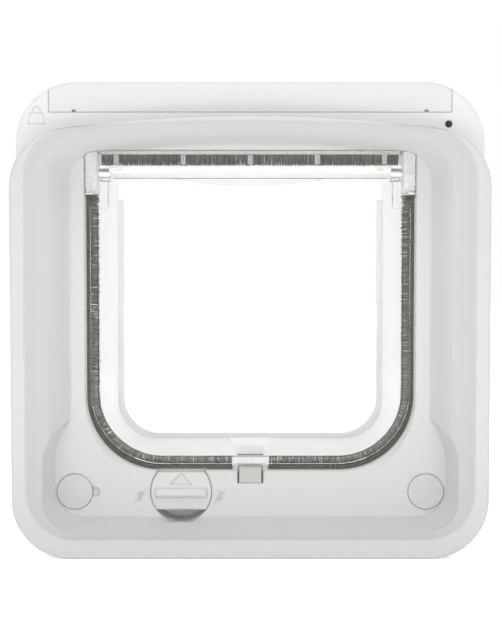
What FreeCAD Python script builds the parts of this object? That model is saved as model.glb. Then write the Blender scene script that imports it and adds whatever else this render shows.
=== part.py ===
"""A two-way cat flap for a house door: dished indoor housing, clear flap, tunnel and exterior frame.

The part stands on its bottom edges at z = 0. +X is right and +Y leads through the door to the outside.
Depths are counted from the front face of the rim, and y = 0 lies half way through the part.
"""
import FreeCAD, Part
import math
import os

from FreeCAD import Vector

os.makedirs("parts", exist_ok=True)

# Overall sizes
housing_width = 210.0
housing_height = 211.0
housing_corner = 27.5
housing_depth = 56.0
door_gap = 70.0
exterior_depth = 24.0
shell_wall = 2.5
rear_plate_thickness = 3.0
edge_round = 2.0
# How far cutters and joined pieces run past the faces that they meet
run_past = 1.0

# Batteries and their tray
cell_radius = 7.25
cell_length = 49.2
cell_cap_radius = 2.75
cell_cap_length = 1.3
cell_edge_round = 0.6
cell_row_gap = 1.1
cell_row_pitch = 2 * cell_radius + cell_row_gap
cell_middle_gap = 1.0
cell_gap = 0.3
tray_floor_thickness = 1.6
tray_wall = 1.6
tray_wall_height = 11.0
tray_front_wall_drop = 7.0
tray_divider_gap = 0.05
tray_overhang = 7.9
tray_support_inset = 8.0
tray_support_width = 4.0
contact_thickness = 0.4
contact_height = 9.0
cover_plate = 2.0
cover_seam_gap = 0.15
cover_ledge_height = 2.0
cover_ledge_thickness = 1.2
cell_top_gap = 0.7
tray_back_room = 3.6
tray_depth = 2 * tray_wall + 2 * cell_radius + cell_row_pitch + 2 * cell_gap
battery_bay_height = cover_plate + cell_top_gap + 2 * cell_radius + tray_floor_thickness
tray_floor_height = housing_height - battery_bay_height

# Rim and dish of the front housing. The body behind the rim is as deep as the battery bay.
body_depth = (
    cover_plate + cover_ledge_thickness + cell_gap + tray_depth + tray_back_room + rear_plate_thickness
)
rim_depth = housing_depth - body_depth
rim_corner = 26.0
rim_bay_step = 2.1
rim_apex_drop = battery_bay_height - rim_bay_step
rim_apex = housing_height - rim_apex_drop
rim_crown = 5.4
rim_shoulder = rim_apex - rim_crown
rim_face_width = 6.4
rim_floor_face = 8.8
rim_edge_round = 1.2
dish_waist_depth = rim_depth
dish_waist_margin = 14.7
dish_waist_width = housing_width - 2 * dish_waist_margin
dish_waist_floor = 10.2
dish_waist_drop = 5.0
dish_waist_apex = rim_apex - dish_waist_drop
throat_depth = 25.0
dish_base_depth = housing_depth - rear_plate_thickness - throat_depth
dish_base_margin = 21.3
dish_base_width = housing_width - 2 * dish_base_margin
dish_base_floor = 12.0
dish_base_drop = 9.3
dish_base_apex = rim_apex - dish_base_drop
dish_mouth_corner = 21.0
dish_waist_corner = 19.0
dish_base_corner = 14.0
dish_crown = 3.0
pocket_margin = 13.5
pocket_width = housing_width - 2 * pocket_margin
pocket_top = 66.0
pocket_corner = 15.0
pocket_top_corner = 27.0
pocket_draft = 1.6

# Throat of the housing and its sloped sill
throat_margin = 28.2
throat_width = housing_width - 2 * throat_margin
throat_floor = 33.7
throat_drop = 11.3
throat_top = rim_apex - throat_drop
throat_corner = 34.8
throat_top_corner = 3.0
sill_crease_drop = 6.4
sill_crease_height = throat_floor - sill_crease_drop
sill_slope_depth = 2.0

# Clear flap
flap_side_gap = 1.4
flap_floor_gap = 2.1
flap_corner = 34.0
flap_top_corner = 1.0
flap_setback = 7.2
flap_front_depth = dish_base_depth + flap_setback
flap_thickness = 2.5
flap_rim_width = 3.6
flap_rim_proud = 0.5
pivot_drop = 10.0
pivot_height = throat_top - pivot_drop
top_rail_radius = 2.6
flap_arm_width = 4.5
flap_arm_radius = 6.0
pin_radius = 2.0
pin_running_gap = 0.05

# Hinge blocks
hinge_block_radius = 12.3
hinge_block_drop = 4.4
hinge_block_top = throat_top - hinge_block_drop
hinge_seat_gap = 0.1
shoulder_gap = 0.5
hinge_block_inner_gap = 0.5
hinge_block_reach = 1.8
hinge_block_lead = 5.8
hinge_block_front = flap_front_depth - hinge_block_lead
hinge_bore_end = 0.5
hinge_block_length = 16.0
hinge_rib_count = 5
hinge_rib_height = 0.9
hinge_rib_proud = 0.5
hinge_rib_pitch = 2.2

# Seals
pile_length = 5.0
pile_clearance = 0.4
seal_backing = 1.3
seal_backing_lip = 0.6
seal_lead = 0.8
seal_gap_half_width = 8.6
brush_end_gap = 7.8
brush_half_width = throat_width / 2 - brush_end_gap
brush_setback = 1.4
brush_thickness = 3.2
brush_front_depth = dish_base_depth + brush_setback
brush_back_depth = brush_front_depth + brush_thickness
brush_drop = 6.6
brush_carrier_height = 2.2
brush_rib_count = 5
brush_rib_end = 7.0
brush_rib_pitch = 2 * (brush_half_width - brush_rib_end) / (brush_rib_count - 1)
brush_rib_width = 2.4
brush_rib_thickness = 0.8

# Lock dial
dial_x = -32.3
dial_radius = 14.15
dial_running_gap = 0.2
dial_top_chord = 9.3
dial_floor_gap = 0.3
control_height = throat_floor - dial_top_chord - dial_floor_gap
dial_bottom_chord = 8.4
dial_bar_depth = 5.6
dial_hub_radius = 6.6
dial_well_depth = 11.0
dial_notch_lead = 5.6
dial_grip_height = 4.2
dial_grip_half_length = 12.0
dial_grip_round = 1.2
dial_grip_proud = 1.6
dial_grip_drop = 0.4
dial_arrow_inset = 0.5
dial_arrow_half_width = 5.2
dial_arrow_height = 5.4
dial_arrow_cut = 0.5
dial_shaft_radius = 3.0
dial_shaft_length = 9.0
dial_cam_radius = 4.9
dial_cam_thickness = 4.0
dial_cam_throw = 1.6

# Screw covers and mounting screw holes
cover_margin = 23.0
cover_x = housing_width / 2 - cover_margin
cover_radius = 8.25
cover_gap = 0.15
cover_thickness = 1.8
cover_stem_radius = 2.6
cover_stem_length = 3.0
cover_notch_radius = 2.2
cover_notch_depth = 1.2
screw_hole_radius = 2.25
upper_screw_drop = 8.9
screw_row_spacing = housing_height - upper_screw_drop - control_height
screw_head_radius = 4.2
screw_head_depth = 12.0
screw_boss_wall = 1.9
pilot_radius = 1.6
pilot_depth = 16.0
pilot_boss_wall = 3.0

# Catches in the sill
catch_width = 10.4
catch_gap = 0.3
catch_thickness = 5.2
catch_setback = 0.4
catch_front_depth = dish_base_depth + catch_setback
catch_spacing = 10.6
catch_rise = 1.6
catch_top = throat_floor + catch_rise
catch_edge_round = 0.8
catch_length = 20.0
catch_step = shell_wall + catch_gap - catch_setback
catch_notch_rise = 0.8
catch_notch_height = sill_crease_height + catch_notch_rise
catch_notch_gap = 0.8
catch_shoulder_gap = 0.1
catch_block_wall = 2.4
catch_block_floor = 5.0
catch_block_gap = 0.1
motor_radius = 5.5
motor_length = 22.0
motor_shaft_radius = 1.0
motor_clearance = 1.5
sill_magnet_width = 10.0
sill_magnet_cover = 1.0
sill_magnet_thickness = 3.0
sill_magnet_height = 3.0

# Flap magnet
holder_top_half_width = 9.5
holder_bottom_half_width = 6.4
holder_height = 7.6
holder_lift = 1.0
magnet_half_width = 6.0
magnet_cover = 0.6
magnet_height = 3.0

# Battery cover
cover_side_margin = 15.3
cover_half_width = housing_width / 2 - cover_side_margin
cover_seam_rise = 3.1
cover_seam_height = rim_apex + cover_seam_rise
cover_back_margin = 4.5
cover_notch_inset = 11.2
cover_notch_width = 1.8
cover_notch_height = 1.2
cover_back_depth = housing_depth - rear_plate_thickness - cover_back_margin

# Indicator light, learn button and electronics
light_margin = 16.7
light_x = housing_width / 2 - light_margin
light_height = tray_floor_height
light_radius = 1.6
light_flange = 1.0
light_fit = 0.05
button_overhang = 9.0
button_radius = 3.2
button_height = 5.0
button_travel = 1.5
button_gap = 0.2
button_proud = 2.0
switch_floor = 0.6
switch_height = 0.2
switch_gap = 0.1
switch_inset = 0.4
button_post_radius = 5.2
coil_clearance = 0.3
coil_catch_gap = 1.3
coil_thickness = 2.2
coil_gap = 0.2
board_wall_gap = 5.4
board_screw_gap = 2.8
board_bottom = 55.0
board_top_drop = 51.0
board_thickness = 1.6
board_stand_off = 3.0
board_peg_radius = 1.4
chip_count = 4
chip_height = 1.8

# Tunnel and exterior frame
tunnel_side_step = 0.2
tunnel_floor_step = 2.6
tunnel_top_step = 0.3
tunnel_width = throat_width + 2 * tunnel_side_step
tunnel_floor = throat_floor - tunnel_floor_step
tunnel_top = throat_top + tunnel_top_step
tunnel_corner = 22.0
tunnel_top_corner = 5.5
tunnel_wall = 2.5
tunnel_fit = 0.15
exterior_side_step = 2.0
exterior_width = housing_width - 2 * exterior_side_step
exterior_height = housing_height
exterior_taper = 6.0
exterior_face = 2.5
lip_side = 3.2
lip_width = tunnel_width - 2 * lip_side
lip_rise = 2.8
lip_floor = tunnel_floor + lip_rise
lip_corner = 21.0
lip_drop = 12.6
lip_top = tunnel_top - lip_drop
lip_top_corner = 0.5
hood_margin = 27.7
hood_half_width = tunnel_width / 2 - hood_margin
hood_sag = 4.6

# Housing screws
plate_screw_radius = 1.4
plate_screw_head_radius = 2.8
plate_screw_head_height = 1.6
plate_screw_length = 12.0
plate_screw_boss_radius = 3.6
plate_screw_seat_gap = 0.15
plate_screw_sink = 0.1
plate_screw_margin = 5.8
plate_screw_x = housing_width / 2 - plate_screw_margin
plate_screw_low = 45.0
plate_screw_high_drop = 46.0
plate_screw_high = housing_height - plate_screw_high_drop
plate_screw_heights = (plate_screw_low, (plate_screw_low + plate_screw_high) / 2, plate_screw_high)

# Places that follow from the sizes
overall_depth = housing_depth + door_gap + exterior_depth
half_width = housing_width / 2
shell_back = housing_depth - rear_plate_thickness
exterior_front = housing_depth + door_gap
lip_depth = overall_depth - exterior_face
flap_half_width = throat_width / 2 - flap_side_gap
flap_bottom = throat_floor + flap_floor_gap
pivot_depth = flap_front_depth + flap_thickness / 2
shoulder_height = pivot_height - hinge_block_radius - shoulder_gap
seal_front_depth = flap_front_depth - seal_lead
tray_top = tray_floor_height + tray_floor_thickness
cell_centre_height = tray_top + cell_radius
front_row_depth = rim_depth + cover_plate + cover_ledge_thickness + tray_wall + cell_radius + 2 * cell_gap
upper_screw_height = control_height + screw_row_spacing
tray_end = cell_middle_gap / 2 + 2 * (contact_thickness + cell_cap_length) + cell_length
tray_length = 2 * (tray_end + contact_thickness + tray_wall + tray_overhang)
button_x = tray_length / 2 + button_overhang
board_inner_x = throat_width / 2 + board_wall_gap
board_width = plate_screw_x - plate_screw_boss_radius - board_screw_gap - board_inner_x
board_height = housing_height - board_top_drop - board_bottom
catch_outer_depth = catch_front_depth + catch_spacing
catch_block_half_width = catch_width / 2 + catch_gap + catch_block_wall
catch_block_back = catch_outer_depth + catch_thickness + catch_gap + catch_block_wall
coil_depth = catch_block_back + coil_catch_gap
coil_length = shell_back - coil_clearance - coil_depth


def at(depth):
    """The y of a depth counted from the front face of the rim."""
    return depth - overall_depth / 2


def point(x, depth, z):
    return Vector(x, at(depth), z)


def box(x_from, x_to, depth_from, depth_to, z_from, z_to):
    return Part.makeBox(
        x_to - x_from, depth_to - depth_from, z_to - z_from, point(x_from, depth_from, z_from)
    )


def rod_along_y(x, z, radius, depth_from, depth_to):
    return Part.makeCylinder(radius, depth_to - depth_from, point(x, depth_from, z), Vector(0, 1, 0))


def rod_along_x(x_from, x_to, depth, z, radius):
    return Part.makeCylinder(radius, x_to - x_from, point(x_from, depth, z), Vector(1, 0, 0))


def rod_along_z(x, depth, z_from, z_to, radius):
    return Part.makeCylinder(radius, z_to - z_from, point(x, depth, z_from), Vector(0, 0, 1))


def fused(first, *others):
    """One solid from pieces that overlap or touch, with its seams cleaned away."""
    return first.fuse(list(others)).removeSplitter()


def corner_arc(cx, cz, radius, from_degrees, to_degrees, depth):
    """An arc about a corner centre, by its start, middle and end angles from +X towards +Z."""
    ends = []
    for degrees in (from_degrees, (from_degrees + to_degrees) / 2, to_degrees):
        angle = math.radians(degrees)
        ends.append(point(cx + radius * math.cos(angle), depth, cz + radius * math.sin(angle)))
    return Part.Arc(*ends).toShape()


def outline(depth, width, bottom, top, bottom_corner, top_corner):
    """A closed rectangle with rounded corners, standing in the plane at this depth."""
    side = width / 2
    low = side - bottom_corner
    high = side - top_corner
    edges = [
        Part.makeLine(point(-low, depth, bottom), point(low, depth, bottom)),
        corner_arc(low, bottom + bottom_corner, bottom_corner, -90, 0, depth),
        Part.makeLine(point(side, depth, bottom + bottom_corner), point(side, depth, top - top_corner)),
        corner_arc(high, top - top_corner, top_corner, 0, 90, depth),
        Part.makeLine(point(high, depth, top), point(-high, depth, top)),
        corner_arc(-high, top - top_corner, top_corner, 90, 180, depth),
        Part.makeLine(point(-side, depth, top - top_corner), point(-side, depth, bottom + bottom_corner)),
        corner_arc(-low, bottom + bottom_corner, bottom_corner, 180, 270, depth),
    ]
    return Part.Wire(edges)


def arched_outline(depth, width, bottom, apex, crown, corner):
    """A rounded rectangle whose top rises by crown to its apex in one tangent arc."""
    side = width / 2
    inner = side - corner
    centre_height = apex - crown - corner
    rise = apex - centre_height
    top_radius = (inner**2 + rise**2 - corner**2) / (2 * (rise - corner))
    top_centre = apex - top_radius
    lean = math.degrees(math.atan2(centre_height - top_centre, inner))
    edges = [
        Part.makeLine(point(-inner, depth, bottom), point(inner, depth, bottom)),
        corner_arc(inner, bottom + corner, corner, -90, 0, depth),
        Part.makeLine(point(side, depth, bottom + corner), point(side, depth, centre_height)),
        corner_arc(inner, centre_height, corner, 0, lean, depth),
        corner_arc(0, top_centre, top_radius, lean, 180 - lean, depth),
        corner_arc(-inner, centre_height, corner, 180 - lean, 180, depth),
        Part.makeLine(point(-side, depth, centre_height), point(-side, depth, bottom + corner)),
        corner_arc(-inner, bottom + corner, corner, 180, 270, depth),
    ]
    return Part.Wire(edges)


def prism(wire, length):
    return Part.Face(wire).extrude(Vector(0, length, 0))


def loft(wires):
    return Part.makeLoft(wires, True, True)


def slab(wire_points, thickness):
    """A flat plate from corner points, made thicker along +Y."""
    return Part.Face(Part.makePolygon(wire_points + wire_points[:1])).extrude(Vector(0, thickness, 0))


def edges_in_plane(shape, depth):
    """The edges of a shape that lie wholly in the plane at this depth."""
    found = []
    for edge in shape.Edges:
        bounds = edge.BoundBox
        if abs(bounds.YMin - at(depth)) < 1e-6 and abs(bounds.YMax - at(depth)) < 1e-6:
            found.append(edge)
    return found


def mirrored(shape):
    return shape.mirror(Vector(0, 0, 0), Vector(1, 0, 0))


# Outlines that several pieces share


def body_outline(depth, inset=0.0):
    corner = housing_corner - inset
    return outline(depth, housing_width - 2 * inset, inset, housing_height - inset, corner, corner)


def rim_outline(depth, inset=0.0):
    crown = rim_apex - rim_shoulder
    corner = rim_corner - inset
    return arched_outline(depth, housing_width - 2 * inset, inset, rim_apex - inset, crown, corner)


def dish_levels(grow):
    """The three outlines of the dish, mouth to base, grown outwards by a wall."""
    mouth_width = housing_width - 2 * rim_face_width
    mouth_apex = rim_apex - (rim_apex - dish_waist_apex) / 2
    levels = [
        (0.0, mouth_width, rim_floor_face, mouth_apex, dish_mouth_corner),
        (dish_waist_depth, dish_waist_width, dish_waist_floor, dish_waist_apex, dish_waist_corner),
        (dish_base_depth, dish_base_width, dish_base_floor, dish_base_apex, dish_base_corner),
    ]
    wires = []
    for depth, width, floor, apex, corner in levels:
        reach = depth + (grow if depth == dish_base_depth else 0.0)
        wires.append(
            arched_outline(reach, width + 2 * grow, floor - grow, apex + grow, dish_crown, corner + grow)
        )
    return wires


def pocket_shape(grow):
    """The wider lower part of the dish, which holds the dial and the screw covers."""
    mouth = outline(
        rim_depth / 2,
        pocket_width + 2 * (pocket_draft + grow),
        dish_base_floor - pocket_draft - grow,
        pocket_top + pocket_draft + grow,
        pocket_corner + grow,
        pocket_top_corner + grow,
    )
    base = outline(
        dish_base_depth + grow,
        pocket_width + 2 * grow,
        dish_base_floor - grow,
        pocket_top + grow,
        pocket_corner + grow,
        pocket_top_corner + grow,
    )
    return loft([mouth, base])


def dish_shape(grow=0.0):
    mouth, waist, base = dish_levels(grow)
    return fused(loft([mouth, waist]), loft([waist, base]), pocket_shape(grow))


def throat_outline(depth, inset=0.0):
    return outline(
        depth,
        throat_width - 2 * inset,
        throat_floor + inset,
        throat_top - inset,
        throat_corner - inset,
        throat_top_corner - min(inset, throat_top_corner / 2),
    )


def throat_shape(depth_from, depth_to, grow=0.0):
    return prism(throat_outline(depth_from, -grow), depth_to - depth_from)


def tunnel_shape(depth_from, depth_to, grow=0.0):
    wire = outline(
        depth_from,
        tunnel_width + 2 * grow,
        tunnel_floor - grow,
        tunnel_top + grow,
        tunnel_corner + grow,
        tunnel_top_corner + grow,
    )
    return prism(wire, depth_to - depth_from)


def flap_outline(depth, grow=0.0):
    """The flap's lower field, with large bottom corners and a square top at its shoulders."""
    return outline(
        depth,
        2 * (flap_half_width + grow),
        flap_bottom - grow,
        shoulder_height,
        flap_corner + grow,
        flap_top_corner,
    )


def screw_places():
    places = []
    for height in (control_height, upper_screw_height):
        for side in (-1, 1):
            places.append((side * cover_x, height))
    return places


# The indoor housing


def housing_skin():
    """The outside of the housing: the tall body and the lower rim in front of it."""
    body = prism(body_outline(rim_depth), shell_back - rim_depth)
    body = body.makeFillet(edge_round, edges_in_plane(body, rim_depth))
    rim = prism(rim_outline(0.0), rim_depth + 2 * edge_round)
    rim = rim.makeFillet(rim_edge_round, edges_in_plane(rim, 0.0))
    return fused(body, rim)


def battery_opening(gap=0.0):
    side = cover_half_width - gap
    return box(
        -side,
        side,
        rim_depth - run_past,
        cover_back_depth - gap,
        cover_seam_height + gap,
        housing_height + run_past,
    )


def cover_ledge():
    """The strips inside the opening that the battery cover rests against."""
    front = rim_depth + cover_plate
    shelf = box(
        -cover_half_width,
        cover_half_width,
        front,
        front + cover_ledge_thickness,
        cover_seam_height - cover_ledge_height,
        cover_seam_height + cover_ledge_height,
    )
    straight = half_width - housing_corner
    rear = box(
        -straight,
        straight,
        cover_back_depth - cover_ledge_height,
        cover_back_depth + cover_ledge_height,
        housing_height - cover_plate - cover_ledge_thickness,
        housing_height - cover_plate,
    )
    return [shelf, rear]


def sill_slope():
    """The chamfer that leads up to the throat's floor and fades out along its lower corners."""
    lower_corner = throat_corner + throat_floor - sill_crease_height
    crease = []
    for depth in (dish_base_depth - run_past, dish_base_depth):
        crease.append(
            outline(depth, throat_width, sill_crease_height, throat_top, lower_corner, throat_top_corner)
        )
    lead = prism(crease[0], run_past)
    return fused(lead, loft([crease[1], throat_outline(dish_base_depth + sill_slope_depth)]))


def catch_slots():
    """The notch in the panel that shows the inner catch, and the slot for both in the throat's floor."""
    notch_half = catch_width / 2 + catch_notch_gap
    panel_back = dish_base_depth + shell_wall
    notch = box(
        -notch_half,
        notch_half,
        dish_base_depth - run_past,
        panel_back,
        catch_notch_height,
        throat_floor + 3 * run_past,
    )
    half = catch_width / 2 + catch_gap
    slot = box(
        -half,
        half,
        panel_back,
        catch_outer_depth + catch_thickness + catch_gap,
        catch_block_floor + catch_block_wall,
        throat_floor + 3 * run_past,
    )
    return [notch, slot]


def screw_boss(x, z, depth_from):
    return rod_along_y(x, z, cover_radius + screw_boss_wall, depth_from, shell_back)


def cover_recess(x):
    """The round seat of a screw cover with the room for the screw's head behind it."""
    seat = rod_along_y(
        x,
        control_height,
        cover_radius + cover_gap,
        dish_base_depth - run_past,
        dish_base_depth + cover_thickness,
    )
    head = rod_along_y(
        x, control_height, screw_head_radius, dish_base_depth, dish_base_depth + screw_head_depth
    )
    return fused(seat, head)


def make_front_housing():
    solid = housing_skin()
    inner = prism(body_outline(rim_depth + shell_wall, shell_wall), shell_back - rim_depth)
    inner_rim = prism(rim_outline(rim_depth / 2, shell_wall), rim_depth + shell_wall)
    throat_wall = throat_shape(dish_base_depth, shell_back, shell_wall)
    keep = fused(dish_shape(shell_wall), throat_wall)
    hollow = inner.fuse(inner_rim).cut(keep)
    solid = solid.cut(hollow)
    additions = list(cover_ledge())
    for side in (-1, 1):
        additions.append(screw_boss(side * cover_x, control_height, dish_base_depth))
        upper = rod_along_y(
            side * cover_x,
            upper_screw_height,
            screw_head_radius + screw_boss_wall,
            cover_back_depth - screw_head_depth,
            shell_back,
        )
        additions.append(upper)
        for height in plate_screw_heights:
            additions.append(
                rod_along_y(
                    side * plate_screw_x,
                    height,
                    plate_screw_boss_radius,
                    dish_base_depth + 2 * shell_wall,
                    shell_back,
                )
            )
    body_limit = prism(body_outline(rim_depth), shell_back - rim_depth)
    additions = [piece.common(body_limit) for piece in additions]
    solid = solid.cut(battery_opening())
    solid = solid.fuse(additions)
    well = rod_along_y(
        dial_x,
        control_height,
        dial_radius + dial_running_gap + shell_wall,
        dish_base_depth - dial_notch_lead,
        dish_base_depth + dial_well_depth + shell_wall,
    )
    well = well.cut(box(-half_width, half_width, 0.0, dish_base_depth, control_height, housing_height))
    well = well.cut(throat_shape(dish_base_depth - run_past, shell_back))
    solid = solid.fuse(well)
    cutters = [dish_shape(), throat_shape(dish_base_depth - run_past, shell_back + run_past), sill_slope()]
    cutters += catch_slots()
    cutters.append(dial_well())
    cutters.append(hinge_block_seat())
    cutters.append(mirrored(hinge_block_seat()))
    cutters.append(seal_groove())
    for side in (-1, 1):
        cutters.append(cover_recess(side * cover_x))
        cutters.append(
            rod_along_y(
                side * cover_x,
                upper_screw_height,
                screw_head_radius,
                cover_back_depth - screw_head_depth - run_past,
                cover_back_depth,
            )
        )
        for height in plate_screw_heights:
            cutters.append(
                rod_along_y(
                    side * plate_screw_x,
                    height,
                    plate_screw_radius,
                    shell_back - plate_screw_length,
                    shell_back + run_past,
                )
            )
    for x, z in screw_places():
        cutters.append(rod_along_y(x, z, screw_hole_radius, dish_base_depth, shell_back + run_past))
    notch_x = -cover_x + cover_radius + cover_notch_radius / 2
    cutters.append(
        rod_along_y(
            notch_x,
            control_height,
            cover_notch_radius,
            dish_base_depth - run_past,
            dish_base_depth + cover_notch_depth,
        )
    )
    cutters.append(light_hole())
    for cutter in cutters:
        solid = solid.cut(cutter)
    return solid.removeSplitter()


def light_hole():
    return rod_along_y(light_x, light_height, light_radius, rim_depth - run_past, rim_depth + 2 * shell_wall)


def dial_well():
    """The round well that the dial turns in, deepest below the sill."""
    radius = dial_radius + dial_running_gap
    front = rod_along_y(
        dial_x,
        control_height,
        radius,
        dish_base_depth - dial_notch_lead,
        dish_base_depth + dial_bar_depth + 2 * dial_running_gap,
    )
    deep = rod_along_y(
        dial_x, control_height, radius, dish_base_depth, dish_base_depth + dial_well_depth
    )
    limit = box(
        dial_x - 2 * radius,
        dial_x + 2 * radius,
        dish_base_depth - run_past,
        shell_back,
        0.0,
        throat_floor - shell_wall,
    )
    shaft = rod_along_y(
        dial_x,
        control_height,
        dial_shaft_radius + pin_running_gap,
        dish_base_depth,
        dish_base_depth + dial_well_depth + 2 * shell_wall,
    )
    return fused(front, deep.common(limit), shaft)


def make_rear_plate():
    plate = prism(body_outline(shell_back), rear_plate_thickness)
    rear_edges = edges_in_plane(plate, housing_depth)
    plate = plate.makeFillet(rear_plate_thickness / 3, rear_edges)
    front = shell_back - run_past
    back = housing_depth + run_past
    plate = plate.cut(tunnel_shape(front, back, tunnel_wall + tunnel_fit))
    for x, z in screw_places():
        plate = plate.cut(rod_along_y(x, z, screw_hole_radius, front, back))
    for side in (-1, 1):
        for height in plate_screw_heights:
            x = side * plate_screw_x
            hole = rod_along_y(x, height, plate_screw_radius, front, housing_depth)
            seat = rod_along_y(
                x,
                height,
                plate_screw_head_radius + plate_screw_seat_gap,
                housing_depth - plate_screw_head_height,
                back,
            )
            plate = plate.cut(hole).cut(seat)
    pegs = []
    for height in (board_bottom + board_width / 2, board_bottom + board_height - board_width / 2):
        middle = board_inner_x + board_width / 2
        pegs.append(
            rod_along_y(middle, height, board_peg_radius, shell_back - board_stand_off, shell_back + run_past)
        )
    return fused(plate, *pegs)


def make_plate_screws():
    screws = []
    for side in (-1, 1):
        for height in plate_screw_heights:
            x = side * plate_screw_x
            shank_front = housing_depth - plate_screw_head_height - plate_screw_length
            shank_back = housing_depth - 2 * plate_screw_sink
            shank = rod_along_y(x, height, plate_screw_radius, shank_front, shank_back)
            head = rod_along_y(
                x,
                height,
                plate_screw_head_radius,
                housing_depth - plate_screw_head_height,
                housing_depth - plate_screw_sink,
            )
            screws.append(fused(shank, head))
    return Part.makeCompound(screws)


# Battery compartment


def make_battery_cover():
    body = prism(body_outline(rim_depth), shell_back - rim_depth)
    body = body.makeFillet(edge_round, edges_in_plane(body, rim_depth))
    core = prism(body_outline(rim_depth + cover_plate, cover_plate), shell_back)
    cover = body.cut(core).common(battery_opening(cover_seam_gap))
    for side in (-1, 1):
        middle = side * (cover_half_width - cover_notch_inset)
        notch = box(
            middle - cover_notch_width / 2,
            middle + cover_notch_width / 2,
            rim_depth - run_past,
            rim_depth + cover_plate + run_past,
            cover_seam_height - run_past,
            cover_seam_height + cover_notch_height,
        )
        cover = cover.cut(notch)
    return cover.removeSplitter()


def cell_places():
    offset = cell_middle_gap / 2 + contact_thickness + cell_cap_length
    places = []
    for row in (0, 1):
        depth = front_row_depth + row * cell_row_pitch
        for side in (-1, 1):
            start = offset if side > 0 else -offset - cell_length
            places.append((start, depth, 1 if row == 0 else -1))
    return places


def make_cell(start, depth, direction):
    """One round cell lying along X, with its cap at the end that direction names."""
    can = rod_along_x(start, start + cell_length, depth, cell_centre_height, cell_radius)
    can = can.makeFillet(cell_edge_round, [edge for edge in can.Edges if edge.Closed])
    reach = cell_cap_length + cell_edge_round
    cap_start = start + cell_length - cell_edge_round if direction > 0 else start - cell_cap_length
    cap = rod_along_x(cap_start, cap_start + reach, depth, cell_centre_height, cell_cap_radius)
    return fused(can, cap)


def make_battery_tray():
    front = front_row_depth - cell_radius - tray_wall - cell_gap
    back = front_row_depth + cell_row_pitch + cell_radius + tray_wall + cell_gap
    side = tray_length / 2
    floor = box(-side, side, front, back, tray_floor_height, tray_top)
    wall_top = tray_top + tray_wall_height
    front_wall_top = wall_top - tray_front_wall_drop
    front_wall = box(-side, side, front, front + tray_wall, tray_floor_height, front_wall_top)
    back_wall = box(-side, side, back - tray_wall, back, tray_floor_height, wall_top)
    pieces = [floor, front_wall, back_wall]
    for end in (-1, 1):
        start = end * (tray_end + contact_thickness)
        low = min(start, start + end * tray_wall)
        pieces.append(box(low, low + tray_wall, front, back, tray_floor_height, wall_top))
    divider = cell_middle_gap / 2 - tray_divider_gap
    pieces.append(box(-divider, divider, front, back, tray_floor_height, wall_top))
    post_foot = box(
        side - run_past,
        button_x,
        front_row_depth - button_post_radius,
        front_row_depth + button_post_radius,
        tray_floor_height,
        tray_top,
    )
    post_top = tray_top + button_height
    post = rod_along_z(button_x, front_row_depth, tray_floor_height, post_top, button_post_radius)
    pieces += [post_foot, post]
    support_front = back - tray_wall
    half_support = tray_support_width / 2
    for x in (-side + tray_support_inset, 0.0, side - tray_support_inset):
        pieces.append(
            box(x - half_support, x + half_support, support_front, shell_back, tray_floor_height, tray_top)
        )
    tray = fused(*pieces)
    bore = rod_along_z(
        button_x,
        front_row_depth,
        tray_top + switch_floor,
        post_top + run_past,
        button_radius + button_gap,
    )
    return tray.cut(bore)


def make_learn_button():
    foot = tray_top + switch_floor + switch_height + switch_gap + button_travel
    top = tray_top + button_height + button_proud
    return rod_along_z(button_x, front_row_depth, foot, top, button_radius)


def make_button_switch():
    foot = tray_top + switch_floor
    return rod_along_z(button_x, front_row_depth, foot, foot + switch_height, button_radius - switch_inset)


def make_contacts():
    """A flat plate at each outer end, a shared pair at the middle and a coil at each flat cell end."""
    low = cell_centre_height - contact_height / 2
    high = cell_centre_height + contact_height / 2
    outer = tray_end
    middle = cell_middle_gap / 2
    plates = []
    for row in (0, 1):
        depth = front_row_depth + row * cell_row_pitch
        near = depth - contact_height / 2
        far = depth + contact_height / 2
        for side in (-1, 1):
            for x in (outer, middle):
                start = x if side > 0 else -x - contact_thickness
                plates.append(box(start, start + contact_thickness, near, far, low, high))
    return Part.makeCompound(plates)


# Indicator light and electronics


def make_indicator_light():
    lens = rod_along_y(light_x, light_height, light_radius - light_fit, rim_depth, rim_depth + 2 * shell_wall)
    flange = rod_along_y(
        light_x,
        light_height,
        light_radius + light_flange,
        rim_depth + shell_wall,
        rim_depth + 2 * shell_wall,
    )
    return fused(lens, flange)


def make_antenna_coil():
    """The flat winding that reads the tag, wound once round the throat behind the catches."""
    outer = throat_shape(coil_depth, coil_depth + coil_length, shell_wall + coil_gap + coil_thickness)
    inner = throat_shape(coil_depth - run_past, coil_depth + coil_length + run_past, shell_wall + coil_gap)
    return outer.cut(inner)


def make_circuit_board():
    back = shell_back - board_stand_off
    return box(
        board_inner_x,
        board_inner_x + board_width,
        back - board_thickness,
        back,
        board_bottom,
        board_bottom + board_height,
    )


def make_board_components():
    front = shell_back - board_stand_off - board_thickness
    pitch = board_height / (chip_count + 1)
    chips = []
    for index in range(chip_count):
        middle = board_bottom + pitch * (index + 1)
        size = board_width * (0.5 if index % 2 else 0.7)
        x = board_inner_x + board_width / 2
        chips.append(
            box(x - size / 2, x + size / 2, front - chip_height, front, middle - size / 2, middle + size / 2)
        )
    return Part.makeCompound(chips)


# Seals


def seal_band(depth_from, depth_to):
    """The U-shaped space between the flap's edge and the throat wall."""
    band = throat_shape(depth_from, depth_to)
    front = depth_from - run_past
    back = depth_to + run_past
    field = prism(flap_outline(front, pile_clearance), back - front)
    above = box(-half_width, half_width, front, back, seal_top(), housing_height)
    return band.cut(field).cut(above)


def seal_top():
    return shoulder_height - run_past


def seal_half(shape):
    """The right half of a seal, clear of the catches."""
    keep = box(seal_gap_half_width, half_width, 0.0, housing_depth, 0.0, housing_height)
    return shape.common(keep)


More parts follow.
